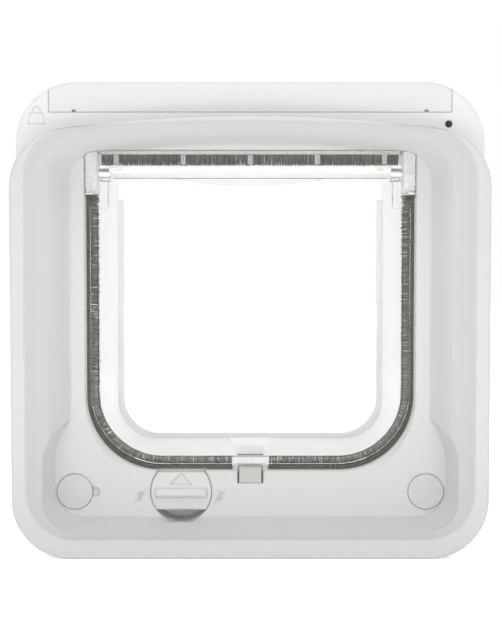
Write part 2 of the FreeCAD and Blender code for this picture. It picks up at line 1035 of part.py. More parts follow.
def seal_channel(gap=0.0):
    """The backing of the seal, let into the wall of the throat."""
    front = seal_front_depth - seal_backing_lip
    back = seal_front_depth + pile_length + seal_backing_lip
    outer = throat_shape(front + gap, back - gap, seal_backing - gap)
    inner = throat_shape(front, back)
    top = seal_top() - gap
    above = box(-half_width, half_width, front - run_past, back + run_past, top, housing_height)
    return outer.cut(inner).cut(above)


def seal_groove():
    right = seal_half(seal_channel())
    groove = right.fuse(mirrored(right))
    dial_room = rod_along_y(
        dial_x, control_height, dial_radius + dial_running_gap + run_past, 0.0, housing_depth
    )
    return groove.cut(dial_room)


def dial_side_cut(shape):
    """Keeps a left-hand seal piece clear of the dial's well."""
    return shape.cut(
        rod_along_y(dial_x, control_height, dial_radius + dial_running_gap + run_past, 0.0, housing_depth)
    )


def make_pile_seal():
    return seal_half(seal_band(seal_front_depth, seal_front_depth + pile_length))


def make_seal_backing():
    return seal_half(seal_channel(0.0))


def brush_rib_x(index):
    return (index - (brush_rib_count - 1) / 2) * brush_rib_pitch - brush_rib_width / 2


def make_brush_strip():
    """The pile that hangs from the throat's top down to the flap's rail."""
    high = throat_top - brush_carrier_height
    return box(
        -brush_half_width,
        brush_half_width,
        brush_front_depth,
        brush_back_depth,
        throat_top - brush_drop,
        high,
    )


def make_brush_carrier():
    """The clear strip that holds the brush, with a rib over it at each fifth of its length."""
    high = throat_top - brush_carrier_height
    bar = box(-brush_half_width, brush_half_width, brush_front_depth, brush_back_depth, high, throat_top)
    ribs = []
    for index in range(brush_rib_count):
        x = brush_rib_x(index)
        ribs.append(
            box(
                x,
                x + brush_rib_width,
                brush_front_depth - brush_rib_thickness,
                brush_front_depth,
                throat_top - brush_drop,
                throat_top,
            )
        )
    return fused(bar, *ribs)


# The flap and its hinge


def make_flap():
    """The clear flap: a field with a thicker edge, two arms and a rail along the pivot."""
    field = prism(flap_outline(flap_front_depth), flap_thickness)
    edge_front = flap_front_depth - flap_rim_proud
    edge_length = flap_thickness + 2 * flap_rim_proud
    edge = prism(flap_outline(edge_front), edge_length)
    core = prism(flap_outline(edge_front - run_past, -flap_rim_width), edge_length + 2 * run_past)
    core_up = box(
        -flap_half_width + flap_rim_width,
        flap_half_width - flap_rim_width,
        edge_front - run_past,
        edge_front + edge_length + 2 * run_past,
        shoulder_height - flap_corner,
        shoulder_height + run_past,
    )
    edge = edge.cut(core).cut(core_up)
    arm_outer = hinge_inner_x() - hinge_block_inner_gap
    neck = box(
        -arm_outer,
        arm_outer,
        flap_front_depth,
        flap_front_depth + flap_thickness,
        shoulder_height - run_past,
        pivot_height,
    )
    rail = rod_along_x(-arm_outer, arm_outer, pivot_depth, pivot_height, top_rail_radius)
    solid = fused(field, edge, neck, rail)
    for side in (-1, 1):
        low = min(side * arm_outer, side * (arm_outer - flap_arm_width))
        arm_foot = pivot_height - 2 * flap_arm_radius
        boss = rod_along_x(low, low + flap_arm_width, pivot_depth, pivot_height, flap_arm_radius / 1.5)
        web = box(
            low,
            low + flap_arm_width,
            pivot_depth - flap_arm_radius / 3,
            pivot_depth + flap_arm_radius / 3,
            arm_foot,
            pivot_height,
        )
        solid = fused(solid, boss, web)
        bore_end = low + flap_arm_width + run_past
        solid = solid.cut(rod_along_x(low - run_past, bore_end, pivot_depth, pivot_height, pin_radius))
    slot = prism(holder_outline(edge_front - run_past), edge_length + 2 * run_past)
    return solid.cut(slot)


def hinge_inner_x():
    """The inner face of the right hinge block."""
    return flap_half_width - flap_arm_width


def make_hinge_pin():
    """A steel pin, tight in the flap's arm and running in the hinge block."""
    arm_outer = hinge_inner_x() - hinge_block_inner_gap
    tip = throat_width / 2 + hinge_block_reach / 2
    return rod_along_x(arm_outer - flap_arm_width, tip, pivot_depth, pivot_height, pin_radius)


def hinge_block_section(radius_gap=0.0):
    """The block's form from the side: a disc about the pivot, cut flat in front, behind and on top."""
    radius = hinge_block_radius + radius_gap
    outer = throat_width / 2 + hinge_block_reach + radius_gap
    disc = rod_along_x(hinge_inner_x(), outer, pivot_depth, pivot_height, radius)
    limit = box(
        0.0,
        half_width,
        hinge_block_front - radius_gap,
        hinge_block_front + hinge_block_length + radius_gap,
        0.0,
        hinge_block_top + radius_gap,
    )
    return disc.common(limit)


def hinge_block_seat():
    return hinge_block_section(hinge_seat_gap)


def make_hinge_block():
    block = hinge_block_section()
    tip = throat_width / 2 + hinge_block_reach
    bore = rod_along_x(
        hinge_inner_x() - run_past,
        tip - hinge_bore_end,
        pivot_depth,
        pivot_height,
        pin_radius + pin_running_gap,
    )
    block = block.cut(bore)
    ribs = []
    outer = throat_width / 2
    for index in range(hinge_rib_count):
        z = pivot_height - index * hinge_rib_pitch
        ribs.append(
            box(
                outer - 2 * hinge_block_reach,
                outer,
                hinge_block_front - hinge_rib_proud,
                hinge_block_front,
                z - hinge_rib_height / 2,
                z + hinge_rib_height / 2,
            )
        )
    return fused(block, *ribs)


def holder_outline(depth, gap=0.0):
    """The fan shape of the magnet holder, wide at its top."""
    low = flap_bottom + flap_rim_width + holder_lift
    corners = [
        point(-holder_bottom_half_width + gap, depth, low + gap),
        point(holder_bottom_half_width - gap, depth, low + gap),
        point(holder_top_half_width - gap, depth, low + holder_height - gap),
        point(-holder_top_half_width + gap, depth, low + holder_height - gap),
    ]
    return Part.makePolygon(corners + corners[:1])


def magnet_pocket(depth_from, depth_to):
    low = flap_bottom + flap_rim_width + holder_lift + magnet_cover
    return box(-magnet_half_width, magnet_half_width, depth_from, depth_to, low, low + magnet_height)


def make_magnet_holder():
    front = flap_front_depth - flap_rim_proud
    back = flap_front_depth + flap_thickness + flap_rim_proud
    holder = prism(holder_outline(front), back - front)
    return holder.cut(magnet_pocket(front + magnet_cover, back - magnet_cover))


def make_flap_magnet():
    front = flap_front_depth - flap_rim_proud + magnet_cover
    back = flap_front_depth + flap_thickness + flap_rim_proud - magnet_cover
    return magnet_pocket(front, back)


# The lock dial


def make_lock_dial():
    front = dish_base_depth
    bar = rod_along_y(dial_x, control_height, dial_radius, front, front + dial_bar_depth)
    limit = box(
        dial_x - dial_radius,
        dial_x + dial_radius,
        front - dial_grip_proud,
        front + dial_bar_depth,
        control_height - dial_bottom_chord,
        control_height + dial_top_chord,
    )
    bar = bar.common(limit)
    hub = rod_along_y(
        dial_x,
        control_height,
        dial_hub_radius,
        front + dial_bar_depth - run_past,
        front + dial_well_depth - dial_running_gap,
    )
    grip_middle = control_height - dial_grip_drop
    grip = box(
        dial_x - dial_grip_half_length,
        dial_x + dial_grip_half_length,
        front - dial_grip_proud,
        front + run_past,
        grip_middle - dial_grip_height / 2,
        grip_middle + dial_grip_height / 2,
    )
    grip = grip.makeFillet(dial_grip_round, edges_in_plane(grip, front - dial_grip_proud))
    dial = fused(bar, hub, grip)
    arrow_base = control_height + dial_top_chord - dial_arrow_height - dial_arrow_inset
    arrow = slab(
        [
            point(dial_x - dial_arrow_half_width, front - run_past, arrow_base),
            point(dial_x + dial_arrow_half_width, front - run_past, arrow_base),
            point(dial_x, front - run_past, arrow_base + dial_arrow_height),
        ],
        dial_arrow_cut + run_past,
    )
    return dial.cut(arrow)


def make_dial_cam():
    """The shaft and the off-centre cam that the dial turns behind its well."""
    front = dish_base_depth + dial_well_depth - dial_running_gap
    shaft = rod_along_y(dial_x, control_height, dial_shaft_radius, front, front + dial_shaft_length)
    cam_front = dish_base_depth + dial_well_depth + shell_wall + 2 * dial_running_gap
    cam = rod_along_y(
        dial_x - dial_cam_throw, control_height, dial_cam_radius, cam_front, cam_front + dial_cam_thickness
    )
    return fused(shaft, cam)


# Screw covers


def make_screw_cover(x):
    disc = rod_along_y(x, control_height, cover_radius, dish_base_depth, dish_base_depth + cover_thickness)
    rim_edges = edges_in_plane(disc, dish_base_depth)
    disc = disc.makeFillet(cover_thickness / 6, rim_edges)
    stem = rod_along_y(
        x,
        control_height,
        cover_stem_radius,
        dish_base_depth + 2 * cover_thickness / 3,
        dish_base_depth + cover_thickness + cover_stem_length,
    )
    return fused(disc, stem)


# Catches


def make_catch(front):
    """A bar that rises out of the sill: a head with a rounded top, over a thinner shank."""
    back = front + catch_thickness
    half = catch_width / 2
    head = box(-half, half, front, back, catch_notch_height + catch_shoulder_gap, catch_top)
    shank = box(-half, half, front + catch_step, back, catch_top - catch_length, catch_top)
    bar = fused(head, shank)
    top_edges = []
    for edge in bar.Edges:
        bounds = edge.BoundBox
        if bounds.ZMin > catch_top - 0.01 and bounds.XLength > 1.0:
            top_edges.append(edge)
    return bar.makeFillet(catch_edge_round, top_edges)


def make_catch_block():
    """The guide under the sill that both catches slide in, with the sill magnet between them."""
    outer = box(
        -catch_block_half_width,
        catch_block_half_width,
        dish_base_depth + shell_wall + catch_block_gap,
        catch_block_back,
        catch_block_floor,
        throat_floor - shell_wall - catch_block_gap,
    )
    core = box(
        -catch_width / 2 - catch_gap + catch_block_gap,
        catch_width / 2 + catch_gap - catch_block_gap,
        catch_front_depth + catch_thickness + catch_gap,
        catch_outer_depth - catch_gap,
        catch_block_floor,
        throat_floor - catch_block_gap,
    )
    block = outer
    half = catch_width / 2 + catch_gap
    for depth in (catch_front_depth, catch_outer_depth):
        back = depth + catch_thickness + catch_gap
        head_room = box(-half, half, depth - catch_gap, back, catch_notch_height, throat_floor)
        shaft_front = depth + catch_step - catch_gap
        shaft = box(-half, half, shaft_front, back, catch_block_floor + catch_block_wall, throat_floor)
        block = block.cut(head_room).cut(shaft)
    block = fused(block, core)
    foot = box(
        -catch_block_half_width,
        catch_block_half_width,
        dish_base_depth + shell_wall + catch_block_gap,
        shell_back,
        catch_block_floor,
        catch_block_floor + catch_block_wall,
    )
    block = fused(block, foot)
    return block.cut(sill_magnet_pocket()).cut(motor_bore())


def sill_magnet_pocket():
    middle = (catch_front_depth + catch_thickness + catch_outer_depth) / 2
    return box(
        -sill_magnet_width / 2,
        sill_magnet_width / 2,
        middle - sill_magnet_thickness / 2,
        middle + sill_magnet_thickness / 2,
        throat_floor - sill_magnet_cover - sill_magnet_height,
        throat_floor - sill_magnet_cover,
    )


def motor_height():
    return catch_block_floor + catch_block_wall + motor_radius + motor_clearance


def motor_depth():
    return (catch_front_depth + catch_thickness + catch_outer_depth) / 2


def motor_bore():
    return rod_along_x(
        0.0,
        catch_block_half_width + run_past,
        motor_depth(),
        motor_height(),
        motor_shaft_radius + pin_running_gap,
    )


def make_catch_motor():
    start = catch_block_half_width
    can = rod_along_x(start, start + motor_length, motor_depth(), motor_height(), motor_radius)
    shaft_start = motor_clearance / 3
    shaft = rod_along_x(shaft_start, start + run_past, motor_depth(), motor_height(), motor_shaft_radius)
    return fused(can, shaft)


# Tunnel and exterior frame


def make_tunnel():
    outer = tunnel_shape(shell_back, lip_depth, tunnel_wall)
    return outer.cut(tunnel_shape(shell_back - run_past, lip_depth + run_past))


def exterior_outline(depth, inset):
    corner = housing_corner - min(inset, housing_corner / 3)
    width = exterior_width - 2 * inset
    return outline(depth, width, inset, exterior_height - inset, corner, corner)


def lip_opening():
    """The way out: narrower than the tunnel at its sides and floor, with a sagging drip edge on top."""
    front = lip_depth - run_past
    back = overall_depth + run_past
    lower = prism(outline(front, lip_width, lip_floor, lip_top, lip_corner, lip_top_corner), back - front)
    upper = tunnel_shape(front, back)
    limit = box(-half_width, half_width, front, back, lip_top - lip_top_corner, tunnel_top + run_past)
    sag_radius = (hood_half_width**2 + hood_sag**2) / (2 * hood_sag)
    sag_centre = tunnel_top - hood_sag + sag_radius
    sag = rod_along_y(0, sag_centre, sag_radius, front - run_past, back + run_past)
    return fused(lower, upper.common(limit)).cut(sag)


def make_exterior_frame():
    outside = loft(
        [exterior_outline(exterior_front, 0.0), exterior_outline(overall_depth, exterior_taper)]
    )
    outer_edges = edges_in_plane(outside, overall_depth)
    outside = outside.makeFillet(edge_round, outer_edges)
    hollow = loft(
        [
            exterior_outline(exterior_front - run_past, shell_wall),
            exterior_outline(lip_depth, exterior_taper + shell_wall),
        ]
    )
    collar = tunnel_shape(exterior_front, lip_depth, tunnel_wall + tunnel_fit + shell_wall)
    frame = outside.cut(hollow.cut(collar))
    bosses = []
    for x, z in screw_places():
        boss_back = lip_depth + exterior_face / 5
        boss = rod_along_y(x, z, pilot_radius + pilot_boss_wall, exterior_front, boss_back)
        bosses.append(boss.common(outside))
    frame = frame.fuse(bosses)
    frame = frame.cut(tunnel_shape(exterior_front - run_past, lip_depth, tunnel_wall + tunnel_fit))
    frame = frame.cut(lip_opening())
    for x, z in screw_places():
        frame = frame.cut(
            rod_along_y(x, z, pilot_radius, exterior_front - run_past, exterior_front + pilot_depth)
        )
    return frame.removeSplitter()


def build():
    """All nodes by name."""
    nodes = {
        "front_housing": make_front_housing(),
        "rear_plate": make_rear_plate(),
        "rear_plate_screws": make_plate_screws(),
        "battery_cover": make_battery_cover(),
        "battery_tray": make_battery_tray(),
        "battery_contacts": make_contacts(),
        "learn_button": make_learn_button(),
        "learn_switch": make_button_switch(),
        "indicator_light": make_indicator_light(),
        "antenna_coil": make_antenna_coil(),
        "circuit_board": make_circuit_board(),
        "board_components": make_board_components(),
        "pile_seal_right": make_pile_seal(),
        "pile_seal_left": dial_side_cut(mirrored(make_pile_seal())),
        "seal_backing_right": make_seal_backing(),
        "seal_backing_left": dial_side_cut(mirrored(make_seal_backing())),
        "brush_strip": make_brush_strip(),
        "brush_carrier": make_brush_carrier(),
        "flap": make_flap(),
        "hinge_pin_right": make_hinge_pin(),
        "hinge_pin_left": mirrored(make_hinge_pin()),
        "hinge_block_right": make_hinge_block(),
        "hinge_block_left": mirrored(make_hinge_block()),
        "magnet_holder": make_magnet_holder(),
        "flap_magnet": make_flap_magnet(),
        "sill_magnet": sill_magnet_pocket(),
        "lock_dial": make_lock_dial(),
        "dial_cam": make_dial_cam(),
        "screw_cover_left": make_screw_cover(-cover_x),
        "screw_cover_right": make_screw_cover(cover_x),
        "inner_catch": make_catch(catch_front_depth),
        "outer_catch": make_catch(catch_outer_depth),
        "catch_block": make_catch_block(),
        "catch_motor": make_catch_motor(),
        "tunnel": make_tunnel(),
        "exterior_frame": make_exterior_frame(),
    }
    for index, (start, depth, direction) in enumerate(cell_places()):
        nodes[f"battery_cell_{index + 1}"] = make_cell(start, depth, direction)
    return nodes


for name, shape in build().items():
    shape.exportStep(f"parts/{name}.step")
    size = shape.BoundBox
    print(
        f"{name}: valid {shape.isValid()}, solids {len(shape.Solids)}, volume {shape.Volume:.1f}, "
        f"x {size.XMin:.2f} to {size.XMax:.2f}, y {size.YMin:.2f} to {size.YMax:.2f}, "
        f"z {size.ZMin:.2f} to {size.ZMax:.2f}"
    )
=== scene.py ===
import math

import bmesh
import bpy
from mathutils import Matrix, Vector


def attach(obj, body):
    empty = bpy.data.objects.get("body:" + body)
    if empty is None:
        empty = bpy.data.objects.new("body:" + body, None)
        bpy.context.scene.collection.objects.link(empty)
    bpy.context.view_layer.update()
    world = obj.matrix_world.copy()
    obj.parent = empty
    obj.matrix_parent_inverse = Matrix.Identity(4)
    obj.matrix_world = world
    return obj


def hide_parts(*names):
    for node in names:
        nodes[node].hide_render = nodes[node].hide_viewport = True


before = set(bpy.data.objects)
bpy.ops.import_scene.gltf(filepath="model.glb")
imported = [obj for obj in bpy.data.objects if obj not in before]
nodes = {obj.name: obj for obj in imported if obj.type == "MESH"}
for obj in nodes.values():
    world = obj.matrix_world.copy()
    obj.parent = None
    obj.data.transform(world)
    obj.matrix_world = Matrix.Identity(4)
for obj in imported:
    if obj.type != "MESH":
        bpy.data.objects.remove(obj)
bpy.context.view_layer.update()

# Camera.
# It stands 430 mm in front of the rim, a little above half height, tipped two degrees down.
camera_lens = bpy.data.cameras.new("camera")
camera_lens.lens = 55.35
camera_lens.sensor_width = 36.0
camera_lens.clip_start = 0.02
camera_lens.clip_end = 30.0
camera = bpy.data.objects.new("camera", camera_lens)
camera.location = (0.0, -0.505, 0.12015)
camera.rotation_euler = (math.radians(87.97), 0.0, math.radians(-0.04))
bpy.context.scene.collection.objects.link(camera)
bpy.context.scene.camera = camera
bpy.context.scene.view_settings.view_transform = "Standard"


# White moulded housing.
# The indoor housing, its back plate and the battery cover are injection moulded in white ABS
# with a fine spark finish. The housing has painted light: its dish is painted a shade lighter than
# the rim, and the body behind them lightest, for how the light falls on them.
class Signal:
    """One output in a finish's node tree. Arithmetic on it adds Math nodes."""

    def __init__(self, finish, socket):
        self.finish = finish
        self.socket = socket

    def reckon(self, operation, *values):
        settings = {"operation": operation}
        return self.finish.node("ShaderNodeMath", settings, dict(enumerate(values)))

    def __add__(self, other):
        return self.reckon("ADD", self, other)

    __radd__ = __add__

    def __sub__(self, other):
        return self.reckon("SUBTRACT", self, other)

    def __rsub__(self, other):
        return self.reckon("SUBTRACT", other, self)

    def __mul__(self, other):
        return self.reckon("MULTIPLY", self, other)

    __rmul__ = __mul__


class Finish:
    """A named material or world with an empty node tree, ready for its own nodes."""

    def __init__(self, name, kept_in=bpy.data.materials):
        self.owner = kept_in.new(name)
        self.owner.use_nodes = True
        self.tree = self.owner.node_tree
        self.tree.nodes.clear()

    def node(self, kind, settings=None, inputs=None, output=0):
        made = self.tree.nodes.new(kind)
        for name, value in (settings or {}).items():
            setattr(made, name, value)
        for key, value in (inputs or {}).items():
            socket = made.inputs[key]
            if isinstance(value, Signal):
                self.tree.links.new(value.socket, socket)
            else:
                socket.default_value = value
        return Signal(self, made.outputs[output])

    def blended(self, factor, first, second):
        """A colour between two colours."""
        settings = {"data_type": "RGBA"}
        return self.node("ShaderNodeMix", settings, {0: factor, 6: first, 7: second}, output=2)

    def noise(self, place, scale, detail):
        """A cloudy pattern of one scale, in repeats to the metre."""
        inputs = {"Vector": place, "Scale": scale, "Detail": detail}
        return self.node("ShaderNodeTexNoise", None, inputs)

    def surface(self, shader, kind="ShaderNodeOutputMaterial"):
        end = self.tree.nodes.new(kind)
        self.tree.links.new(shader.socket, end.inputs["Surface"])
        return self.owner


def shade(red, green, blue):
    return (red, green, blue, 1.0)


spark_grain = 0.00022
spark_height = 0.00008


def moulded(name, light, dark, roughness, relief=0.05, softness=0.0005, tones=None):
    """Moulded plastic: spark-finish grain, faint flow clouding and softened edges."""
    finish = Finish(name)
    place = finish.node("ShaderNodeTexCoord", output=3)
    cloud = finish.noise(place, 26.0, 3.0)
    spark = finish.noise(place, 1.0 / spark_grain, 2.0)
    smear = finish.noise(place, 150.0, 4.0)
    colour = finish.blended(cloud * 0.7 + spark * 0.3, dark, light)
    if tones:
        colour = tones(finish, place, colour)
    edge = finish.node("ShaderNodeBevel", {"samples": 6}, {"Radius": softness})
    relief_normal = finish.node(
        "ShaderNodeBump", None,
        {"Strength": relief, "Distance": spark_height, "Height": spark, "Normal": edge},
    )
    shader = finish.node("ShaderNodeBsdfPrincipled", None, {
        "Base Color": colour,
        "Roughness": roughness - 0.05 + 0.07 * smear + 0.03 * spark,
        "Normal": relief_normal,
        "IOR": 1.5,
    })
    return finish.surface(shader)


def coat(node_name, material):
    """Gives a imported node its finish."""
    slots = nodes[node_name].data.materials
    if not slots:
        slots.append(material)
    for index in range(len(slots)):
        slots[index] = material


dish_corner = 0.024
dish_corner_across = 0.0735
dish_corner_height = 0.167
dish_arch_fall = 0.478
dish_floor = 0.0085
rim_face = -0.0750
dish_wall = -0.0640
body_face = -0.0632
# Painted light: lighter colours for the dish and for the body behind the rim.
dish_painted_light = shade(0.728, 0.738, 0.726)
body_painted_light = shade(0.86, 0.862, 0.85)


def housing_painted_light(finish, place, colour):
    """Painted light: the dish is painted a shade lighter than the rim, and the body behind
    lightest.

    The dish is a standing rectangle with round upper corners under an arch that falls towards
    the sides. Its places are in metres.
    """
    across, depth, height = (
        finish.node("ShaderNodeSeparateXYZ", None, {0: place}, output=axis) for axis in range(3)
    )
    aside = across.reckon("MAXIMUM", across.reckon("ABSOLUTE", across) - dish_corner_across, 0.0)
    arched = height + dish_arch_fall * across * across
    above = height.reckon("MAXIMUM", arched - dish_corner_height, 0.0)
    within = (
        height.reckon("LESS_THAN", aside * aside + above * above, dish_corner ** 2)
        * height.reckon("GREATER_THAN", height, dish_floor)
    )
    sunk = finish.node(
        "ShaderNodeMapRange", {"interpolation_type": "SMOOTHSTEP"},
        {0: depth, 1: rim_face, 2: dish_wall, 3: 0.0, 4: 1.0},
    )
    behind = depth.reckon("GREATER_THAN", depth, body_face)
    # Painted light: the dish and the body behind the rim are painted lighter than the rim.
    colour = finish.blended(within * sunk, colour, dish_painted_light)
    return finish.blended(behind * (1.0 - within), colour, body_painted_light)


housing_white = moulded(
    "housing_white", shade(0.695, 0.705, 0.693), shade(0.677, 0.687, 0.676), 0.42,
    softness=0.0018, tones=housing_painted_light,
)
body_white = moulded("body_white", shade(0.825, 0.825, 0.81), shade(0.81, 0.81, 0.797), 0.40)
plate_white = moulded(
    "plate_white", shade(0.78, 0.785, 0.775), shade(0.76, 0.765, 0.755), 0.50, relief=0.12
)
coat("front_housing", housing_white)
coat("battery_cover", body_white)
coat("rear_plate", plate_white)


# Studio.
# A pale floor runs to the horizon, and the room is white. Soft lamps without a hard edge stand
# at both sides, low and high in front, and behind, so that the dish has next to no shadows.
floor_half = 6.0
floor_drop = 0.0001
floor_lift = 0.5
room_strength = 0.745
floor_form = bmesh.new()
bmesh.ops.create_grid(floor_form, x_segments=1, y_segments=1, size=floor_half)
floor_mesh = bpy.data.meshes.new("floor")
floor_form.to_mesh(floor_mesh)
floor_form.free()
floor_mesh.transform(Matrix.Translation((0.0, 0.0, -floor_drop)))
floor = bpy.data.objects.new("floor", floor_mesh)
bpy.context.scene.collection.objects.link(floor)


def seen_rays(finish):
    """The rays that show the backdrop: the camera's, mirrored ones and those through plastic."""
    kinds = ("Is Camera Ray", "Is Glossy Ray", "Is Transmission Ray")
    return [finish.node("ShaderNodeLightPath", output=kind) for kind in kinds]


floor_finish = Finish("floor_white")
floor_camera, floor_glossy, floor_through = seen_rays(floor_finish)
floor_white = floor_finish.node("ShaderNodeBsdfDiffuse", None, {"Color": shade(0.94, 0.94, 0.94)})
floor_glow = floor_finish.node(
    "ShaderNodeEmission", None,
    {"Strength": (floor_camera + floor_glossy + floor_through) * floor_lift},
)
floor_shader = floor_finish.node("ShaderNodeAddShader", None, {0: floor_white, 1: floor_glow})
floor_mesh.materials.append(floor_finish.surface(floor_shader))

room = Finish("white_room", bpy.data.worlds)
room_camera, room_glossy, room_through = seen_rays(room)
room_seen = room_camera.reckon("MAXIMUM", room_camera, room_glossy)
room_seen = room_seen.reckon("MAXIMUM", room_seen, room_through)
room_lit, room_bright = (
    room.node("ShaderNodeBackground", None, {"Color": shade(1.0, 1.0, 1.0), "Strength": strength})
    for strength in (room_strength, 1.0)
)
room_shader = room.node("ShaderNodeMixShader", None, {0: room_seen, 1: room_lit, 2: room_bright})
bpy.context.scene.world = room.surface(room_shader, "ShaderNodeOutputWorld")

plain_light = (1.0, 1.0, 1.0)
for lamp_name, place, target, wide, tall, power, tint in (
    ("lamp_left", (-0.85, -0.3, 0.1), (0.0, -0.07, 0.08), 0.5, 0.5, 0.1, (1.0, 1.0, 0.985)),
    ("lamp_right", (0.85, -0.3, 0.1), (0.0, -0.07, 0.08), 0.5, 0.5, 0.1, (0.985, 0.995, 1.0)),
    ("lamp_low", (0.0, -0.53, 0.004), (0.0, -0.53, 1.0), 0.72, 0.72, 0.85, plain_light),
    ("lamp_strip", (0.0, -0.33, 0.03), (0.0, 0.0, 0.06), 0.5, 0.05, 0.145, plain_light),
    ("lamp_high", (0.0, -0.36, 0.55), (0.0, -0.361, 0.0), 0.3, 0.3, 0.5, plain_light),
    ("lamp_back_left", (-0.55, 0.42, 0.25), (0.0, 0.02, 0.09), 0.5, 0.5, 0.85, plain_light),
    ("lamp_back_right", (0.55, 0.42, 0.25), (0.0, 0.02, 0.09), 0.5, 0.5, 0.85, plain_light),
):
    lamp_data = bpy.data.lights.new(lamp_name, "AREA")
    lamp_data.shape = "RECTANGLE"
    lamp_data.size = wide
    lamp_data.size_y = tall
    lamp_data.energy = power
    lamp_data.color = tint
    lamp = bpy.data.objects.new(lamp_name, lamp_data)
    lamp.location = place
    lamp.rotation_euler = (Vector(target) - Vector(place)).to_track_quat("-Z", "Y").to_euler()
    lamp.visible_camera = False
    bpy.context.scene.collection.objects.link(lamp)


# Tunnel and exterior frame.
# The square tunnel slides through the door and the frame closes it outside. Both are white
# mouldings, painted lighter than the housing: painted light for the light that reaches them from
# both ends.
# Painted light: both whites are lighter than the housing's.
tunnel_painted_light = moulded(
    "tunnel_painted_light", shade(0.94, 0.94, 0.935), shade(0.925, 0.925, 0.92), 0.45, relief=0.08
)
outdoor_painted_light = moulded(
    "outdoor_painted_light", shade(0.90, 0.90, 0.892), shade(0.885, 0.885, 0.877), 0.44
)
coat("tunnel", tunnel_painted_light)
coat("exterior_frame", outdoor_painted_light)


# Clear flap.
# One polished moulding: a flat field with a thicker edge, large round lower corners, a round
# rail along its top and two arms that carry the hinge pins.
MM = 0.001
RIM_TO_MIDDLE = 75.0


def deep(depth):
    """The y of a depth behind the rim's front face, in millimetres."""
    return depth - RIM_TO_MIDDLE


def settle(name, form, body, material, sharp=35.0):
    """Turns a form in millimetres into a finished piece that rides on a body."""
    bmesh.ops.scale(form, vec=(MM, MM, MM), verts=form.verts)
    mesh = bpy.data.meshes.new(name)
    form.to_mesh(mesh)
    form.free()
    mesh.materials.append(material)
    mesh.shade_smooth()
    mesh.set_sharp_from_angle(angle=math.radians(sharp))
    made = bpy.data.objects.new(name, mesh)
    bpy.context.scene.collection.objects.link(made)
    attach(made, body)
    return made


def block(form, x_from, x_to, depth_from, depth_to, z_from, z_to):
    """Adds a box between its faces and returns its corners."""
    middle = ((x_from + x_to) / 2, (deep(depth_from) + deep(depth_to)) / 2, (z_from + z_to) / 2)
    size = Matrix.Diagonal((x_to - x_from, depth_to - depth_from, z_to - z_from, 1.0))
    place = Matrix.Translation(middle) @ size
    return bmesh.ops.create_cube(form, size=1.0, matrix=place)["verts"]


def thicken(form, faces, distance):
    """Draws faces straight back, which gives a thin shape its thickness."""
    grown = bmesh.ops.extrude_face_region(form, geom=faces)["geom"]
    bmesh.ops.translate(
        form, vec=(0.0, distance, 0.0),
        verts=[part for part in grown if isinstance(part, bmesh.types.BMVert)],
    )


def edges_where(form, test):
    return [edge for edge in form.edges if test(edge)]


def crisp_edges(form, degrees):
    """The edges whose two faces turn by more than an angle."""
    turn = math.radians(degrees)
    return edges_where(
        form, lambda edge: len(edge.link_faces) == 2 and edge.calc_face_angle(0.0) > turn
    )


def round_over(form, edges, radius, segments):
    return bmesh.ops.bevel(
        form, geom=edges, offset=radius, offset_type="OFFSET", segments=segments, profile=0.5,
        affect="EDGES", material=-1, clamp_overlap=True,
    )


def carve(form, tool, operation):
    """Joins a tool's form to a form, or cuts it out, and gives back one closed skin."""
    blanks = []
    for part in (form, tool):
        mesh = bpy.data.meshes.new("blank")
        bmesh.ops.recalc_face_normals(part, faces=part.faces)
        part.to_mesh(mesh)
        part.free()
        blank = bpy.data.objects.new("blank", mesh)
        bpy.context.scene.collection.objects.link(blank)
        blanks.append(blank)
    cut = blanks[0].modifiers.new("cut", "BOOLEAN")
    cut.operation = operation
    cut.solver = "EXACT"
    cut.object = blanks[1]
    shaped = bmesh.new()
    shaped.from_object(blanks[0], bpy.context.evaluated_depsgraph_get())
    for blank in blanks:
        mesh = blank.data
        bpy.data.objects.remove(blank)
        bpy.data.meshes.remove(mesh)
    return shaped


def rod(form, x_from, x_to, depth, z, radius):
    """Adds a round bar along X."""
    place = Matrix.Translation(((x_from + x_to) / 2, deep(depth), z))
    bmesh.ops.create_cone(
        form, cap_ends=True, segments=40, radius1=radius, radius2=radius, depth=x_to - x_from,
        matrix=place @ Matrix.Rotation(math.pi / 2, 4, "Y"),
    )


milk_white = shade(0.97, 0.972, 0.968)


def clear(name, colour, roughness, scratch=0.02, haze=0.0, bend=1.3):
    """Clear plastic that lets light through, with a milky share and the scratches of handling."""
    finish = Finish(name)
    place = finish.node("ShaderNodeTexCoord", output=3)
    wave = finish.noise(place, 60.0, 2.0)
    hair = finish.noise(place, 900.0, 4.0)
    ripple = finish.node("ShaderNodeBump", None, {
        "Strength": scratch,
        "Distance": 0.0002,
        "Height": wave + 0.3 * hair,
    })
    body = finish.node("ShaderNodeBsdfPrincipled", None, {
        "Base Color": colour,
        "Roughness": roughness + 0.03 * hair,
        "Normal": ripple,
        "IOR": bend,
        "Transmission Weight": 1.0,
    })
    if haze:
        milk = finish.node("ShaderNodeBsdfPrincipled", None, {
            "Base Color": milk_white,
            "Roughness": 0.3 + 0.1 * hair,
            "Normal": ripple,
            "IOR": 1.49,
        })
        milky = haze - 0.08 + 0.16 * wave
        body = finish.node("ShaderNodeMixShader", None, {0: milky, 1: body, 2: milk})
    through = finish.node("ShaderNodeBsdfTransparent", None, {"Color": colour})
    shadow = finish.node("ShaderNodeLightPath", output="Is Shadow Ray")
    shader = finish.node("ShaderNodeMixShader", None, {0: shadow, 1: body, 2: through})
    return finish.surface(shader)


clear_plastic = clear("clear_plastic", shade(0.998, 0.998, 0.998), 0.015, bend=1.2)
flap_half = 75.4
flap_bottom = 35.8
flap_shoulder = 160.2
flap_front = 35.2
flap_thick = 2.5
flap_corner = 34.0
flap_edge_round = 0.5
edge_width = 3.6
edge_slope = 0.4
edge_proud = 0.5
pivot_height = 173.0
pivot_depth = 36.45
rail_radius = 2.6
arm_outside = 70.4
arm_width = 4.5
arm_overrun = 30.0
boss_radius = 4.0
boss_edge_round = 0.4
near = 0.1

